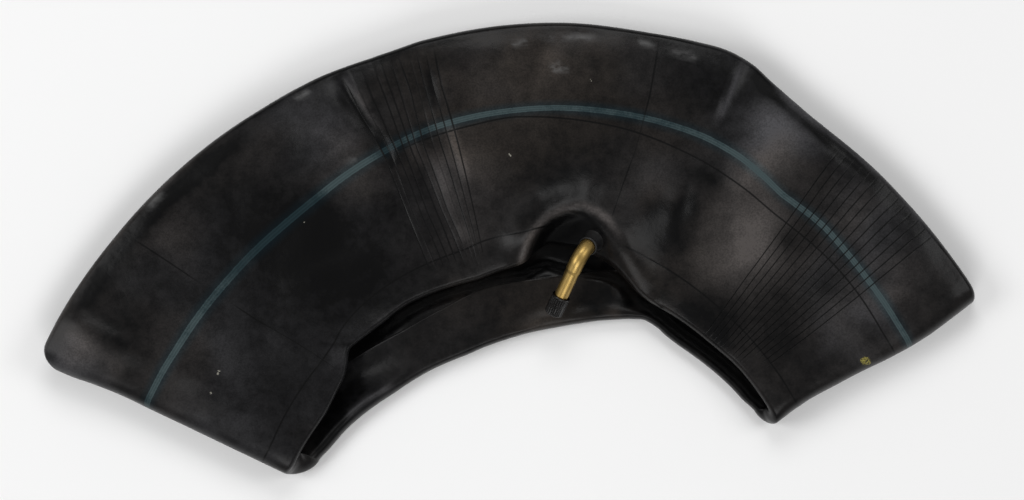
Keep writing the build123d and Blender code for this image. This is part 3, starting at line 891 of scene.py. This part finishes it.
def skin():
    """Points and faces of the skin, and what its material reads at each point."""
    g = Grid()
    lift, line = mould_marks(g)
    s = g.share[:, None]
    width = smooth_keys(STRIPE_WIDTH, g.az)[:, None]
    # the stripe reads 1 at its edges, and 99 on the faces that have none
    stripe = np.where(g.level > -0.2, (g.radius - g.stripe[:, None]) / (width / 2), 99.0)
    # painted sheen and shade of both layers, for the material
    painted_light = np.where(g.level > 0, upper_painted_light(g), 0.2) * (1 - s) + lower_painted_light(g) * s
    pale_streak = sum(stroke(g.x, g.y, points, 1.0, 1.6, 0.3) for points in PALE_STREAKS)
    pale_streak = pale_streak * (g.level > 0.2) * (1 - s)
    marks = {"stripe": stripe, "painted_light": 0.47 * painted_light, "pale_streak": pale_streak, "line": line}
    faces = ring_faces(len(g.az), len(g.names), closed=True)
    return folded(g, lift), faces, {name: values.ravel() for name, values in marks.items()}


points, faces, marks = skin()
tube = mesh_object("tube_skin", points, faces, TUBE_RUBBER, attributes=marks)
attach(tube, "tube")
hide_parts("tube_body")
print("skin", len(points), "points", len(faces) * 2, "triangles")

# ---- the valve's moulded foot ----
FOOT_PROFILE = [
    (-3.4, 8.2), (-2.0, 7.6), (-1.0, 7.0), (0.0, 6.4), (1.0, 5.95), (2.0, 5.6), (3.2, 5.3),
    (4.6, 5.0), (6.2, 4.85), (6.9, 4.85), (7.1, 5.1), (7.4, 5.3), (7.9, 5.34), (8.35, 5.15),
    (8.6, 4.8), (8.45, 4.45), (8.2, 4.25), (6.0, 4.22), (2.0, 4.22), (-3.4, 4.22),
]
points, faces = turned(FOOT_PROFILE, FOOT, BOSS, 96)
foot = mesh_object("valve_boss", points, faces, FOOT_RUBBER)
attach(foot, "tube")
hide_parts("valve_foot")

# ---- the ribbed cap ----
CAP_RIBS = 24
CAP_OUTER = [
    (20.92, 4.0), (20.90, 4.3), (20.90, 4.82), (21.0, 4.95), (21.2, 5.0), (21.62, 5.0),
    (21.80, 4.93), (21.95, 4.80), (22.3, 4.80), (31.6, 4.80), (31.9, 4.72), (32.15, 4.52),
    (32.32, 4.22), (32.4, 3.8), (32.4, 2.6), (32.36, 1.2), (32.34, 0.02),
]
CAP_INNER = [
    (31.3, 0.02), (31.3, 2.9), (29.62, 2.9), (29.62, 3.92), (21.3, 3.92), (20.98, 3.96), (20.92, 4.0),
]


def cap_radius(s, r, angle):
    """Radius of the cap, with soft ribs on its outside between its rim band and its end."""
    wave = np.clip(0.35 + 0.95 * np.cos(CAP_RIBS * angle), 0, 1)
    outside = 1.0 if r > 4.4 else 0.0
    share = float(ramp(s, 21.75, 22.2) * ramp(-s, -32.2, -31.5)) * outside
    return r + share * (0.58 * wave - 0.42)


points, faces = turned(CAP_OUTER + CAP_INNER, LEG_START, LEG, 240, cap_radius)
cap = mesh_object("cap_shell", points, faces, CAP_PLASTIC)
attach(cap, "cap")
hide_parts("valve_cap")

# ---- the core's spring, which shortens as the pin is pressed ----
def coil(start, end, turns, radius, wire):
    """A closed coil of round wire along the outer leg, from start to end (mm along the leg)."""
    axis, side, other = axes_about(LEG)
    steps, ring = int(turns * 28), 10
    points = []
    for i in range(steps + 1):
        t = i / steps
        angle = 2 * math.pi * turns * t
        out = math.cos(angle) * side + math.sin(angle) * other
        centre = LEG_START + axis * (start + (end - start) * t) + out * radius
        for k in range(ring):
            a = 2 * math.pi * k / ring
            points.append(centre + wire * (math.cos(a) * out + math.sin(a) * axis))
    first_end = tuple(range(ring))
    last_end = tuple(steps * ring + k for k in reversed(range(ring)))
    return points, ring_faces(steps + 1, ring) + [first_end, last_end]


points, faces = coil(14.15, 20.0, 7.5, 0.83, 0.12)
spring = mesh_object("coil_spring", points, faces, SPRING_STEEL)
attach(spring, "core_body")
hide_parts("core_spring")
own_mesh(spring)

# ---- CAD nodes that keep their shape ----
for node, material in {
    "valve_stem": STEM_BRASS,
    "core_swivel": CORE_BRASS,
    "core_barrel": CORE_BRASS,
    "core_gasket": GASKET,
    "core_pin": PIN_BRASS,
    "core_cup": PIN_BRASS,
    "cup_seal": SEAL,
    "cap_washer": SEAL,
}.items():
    obj = frame["nodes"][node]
    for slot in obj.material_slots:
        slot.material = material

# ---- floor, lights and camera ----
floor_material = Nodes("pale_floor", Roughness=0.9)
shade = floor_material.noise(3, 3, 0.5)
floor_material.out(Base_Color=floor_material.mix(shade, (0.90, 0.90, 0.90), (0.93, 0.93, 0.93)))
bpy.ops.mesh.primitive_plane_add(size=6, location=(0, 0, -0.0002))
floor = bpy.context.object
floor.name = "floor"
floor.data.materials.append(floor_material.material)

world = bpy.data.worlds.new("studio")
bpy.context.scene.world = world
world.use_nodes = True
background = world.node_tree.nodes["Background"]
background.inputs["Color"].default_value = (1.0, 1.0, 1.0, 1)
background.inputs["Strength"].default_value = 0.26


def soft_light(name, place, size, watts):
    """A square or oblong lamp, size in metres, that shines on the middle of the tube."""
    data = bpy.data.lights.new(name, "AREA")
    data.shape = "RECTANGLE"
    data.size, data.size_y = size
    data.energy = watts
    light = bpy.data.objects.new(name, data)
    bpy.context.collection.objects.link(light)
    light.location = place
    light.rotation_euler = (-Vector(place)).to_track_quat("-Z", "Y").to_euler()


soft_light("left", (-1.32, 0.1, 1.46), (0.9, 0.9), 13)
soft_light("near", (-0.1, -1.32, 1.46), (1.0, 0.8), 10)
soft_light("right", (1.32, 0.2, 1.46), (0.8, 0.9), 8)
soft_light("far", (0.1, 1.32, 1.46), (1.0, 0.8), 10)

# the camera looks straight down, and is turned a little about the vertical
camera_data = bpy.data.cameras.new("camera")
camera_data.lens = 135
camera_data.sensor_width = 36
camera_data.clip_start = 0.05
camera_data.clip_end = 20
camera = bpy.data.objects.new("camera", camera_data)
bpy.context.collection.objects.link(camera)
camera.location = (0.0052, -0.0087, 2.0805)
camera.rotation_euler = (0, 0, math.radians(-4.05))
bpy.context.scene.camera = camera
bpy.context.scene.view_settings.view_transform = "Standard"
